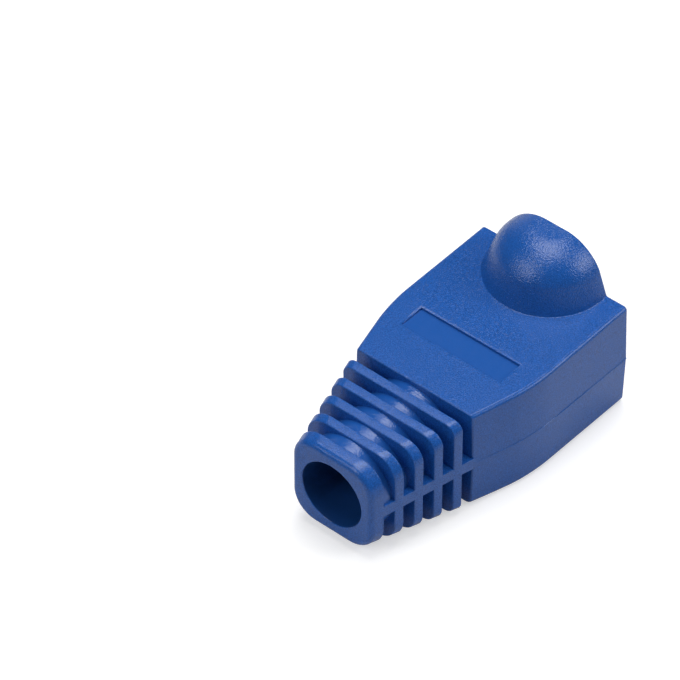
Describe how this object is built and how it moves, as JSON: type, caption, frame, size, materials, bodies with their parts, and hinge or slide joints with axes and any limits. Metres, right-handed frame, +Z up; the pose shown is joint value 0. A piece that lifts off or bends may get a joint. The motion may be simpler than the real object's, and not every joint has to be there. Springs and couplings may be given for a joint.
{
  "type": "rj45 strain relief boot",
  "caption": "Soft one-piece slide-on boot for a modular plug, with a latch hood, a bare label recess and a finned tail round the cable bore.",
  "frame": {"origin": "middle of the bounding box, on the plane that the boot rests on", "axes": "+X from the mouth to the tail along the cable, +Z up through the latch hood"},
  "size_m": [0.025, 0.0142, 0.0135],
  "materials": {
    "blue_pvc": "fine spark-eroded grain"
  },
  "bodies": {
    "root": {"boot": "blue_pvc"}
  },
  "joints": []
}
